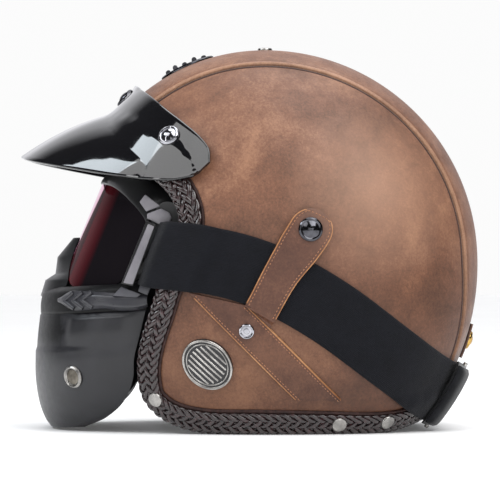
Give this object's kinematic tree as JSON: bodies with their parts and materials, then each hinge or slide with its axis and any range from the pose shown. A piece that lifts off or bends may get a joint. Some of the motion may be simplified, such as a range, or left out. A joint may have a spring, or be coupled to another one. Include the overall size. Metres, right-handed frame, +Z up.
{
  "type": "open face motorcycle helmet",
  "caption": "Leather-covered open face motorcycle helmet with plaited trim, removable peak, strap-held goggles and a detachable face mask.",
  "frame": {"origin": "middle of the bounding box at floor level, with the helmet standing on its rim", "axes": "+X to the wearer's left, -Y forward (the way the goggles face), +Z up"},
  "size_m": [0.2472, 0.3048, 0.254],
  "materials": {
    "leather": "aged pull-up leather, semi-matt",
    "dark_leather": "smooth, semi-matt",
    "braided_leather": "plaited, polished",
    "shell_black": "moulded",
    "liner_foam": "expanded foam",
    "face_foam": "open-cell foam",
    "lining": "brushed lining",
    "gloss_black": "high gloss",
    "matte_black": "fine satin",
    "elastic": "woven elastic",
    "webbing": "woven webbing",
    "steel": "satin",
    "dark_chrome": "dark plated",
    "brass": "aged",
    "enamel": "black enamel with raised steel rim",
    "lens": "smoked with red mirror coat"
  },
  "bodies": {
    "helmet": {"centre_leather_panel": "leather", "side_leather_panel_left": "leather", "side_leather_panel_right": "leather", "diagonal_band_left": "leather", "diagonal_band_right": "leather", "seam_welt_left": "dark_leather", "seam_welt_right": "dark_leather", "rear_tab": "dark_leather", "edge_braid": "braided_leather", "outer_shell": "shell_black", "impact_liner": "liner_foam", "crown_pad": "lining", "cheek_pad_left": "lining", "cheek_pad_right": "lining", "neck_pad": "lining", "buckle_receiver": "matte_black", "goggle_strap": "elastic", "chin_strap_left": "webbing", "chin_strap_right": "webbing", "band_rivet_left": "steel", "band_rivet_right": "steel", "cheek_trim_rivet_left": "steel", "cheek_trim_rivet_right": "steel", "middle_trim_rivet_left": "steel", "middle_trim_rivet_right": "steel", "rear_trim_rivet_left": "steel", "rear_trim_rivet_right": "steel", "crown_stud": "steel", "brow_badge": "steel", "strap_anchor_left": "steel", "strap_anchor_right": "steel", "peak_snap_stud_centre": "steel", "peak_snap_stud_left": "steel", "peak_snap_stud_right": "steel", "tab_snap_stud_left": "steel", "tab_snap_stud_right": "steel", "rear_tab_snap": "brass", "side_plaque_left": "enamel", "side_plaque_right": "enamel"},
    "peak": {"peak": "gloss_black", "peak_snap_cap_centre": "dark_chrome", "peak_snap_cap_left": "dark_chrome", "peak_snap_cap_right": "dark_chrome"},
    "goggles": {"goggle_frame": "matte_black", "face_foam": "face_foam", "goggle_lens": "lens", "mask_rail": "matte_black", "nose_guard": "matte_black", "outrigger_left": "matte_black", "outrigger_right": "matte_black"},
    "mask": {"mask_shell": "matte_black", "mask_vent_left": "steel", "mask_vent_right": "steel"},
    "tab_left": {"strap_tab_left": "leather", "tab_snap_cap_left": "dark_chrome"},
    "tab_right": {"strap_tab_right": "leather", "tab_snap_cap_right": "dark_chrome"},
    "slider": {"strap_slider": "matte_black"},
    "tongue": {"buckle_tongue": "matte_black"}
  },
  "joints": [
    {"name": "peak_pull", "type": "slide", "parent": "helmet", "child": "peak", "axis": [0, -0.8, 0.6], "range_m": [0, 0.1]},
    {"name": "goggles_pull", "type": "slide", "parent": "helmet", "child": "goggles", "axis": [0, -1, 0], "range_m": [0, 0.04], "stiffness_N_per_m": 250, "springref_m": -0.01, "deforming": ["goggle_strap"]},
    {"name": "mask_pull", "type": "slide", "parent": "goggles", "child": "mask", "axis": [0, -1, 0], "range_m": [0, 0.06]},
    {"name": "tab_left_hinge", "type": "hinge", "parent": "helmet", "child": "tab_left", "pos_m": [0.11983, 0.01014, 0.07874], "axis": [-0.0244, 0.8871, -0.461], "range_deg": [0, 100]},
    {"name": "tab_right_hinge", "type": "hinge", "parent": "helmet", "child": "tab_right", "pos_m": [-0.11983, 0.01014, 0.07874], "axis": [-0.0244, -0.8871, 0.461], "range_deg": [0, 100]},
    {"name": "slider_shift", "type": "slide", "parent": "helmet", "child": "slider", "axis": [-0.9651, 0.2323, -0.1212], "range_m": [-0.006, 0.006]},
    {"name": "buckle_release", "type": "slide", "parent": "helmet", "child": "tongue", "axis": [1, 0, 0], "range_m": [0, 0.022], "deforming": ["chin_strap_left"]}
  ]
}
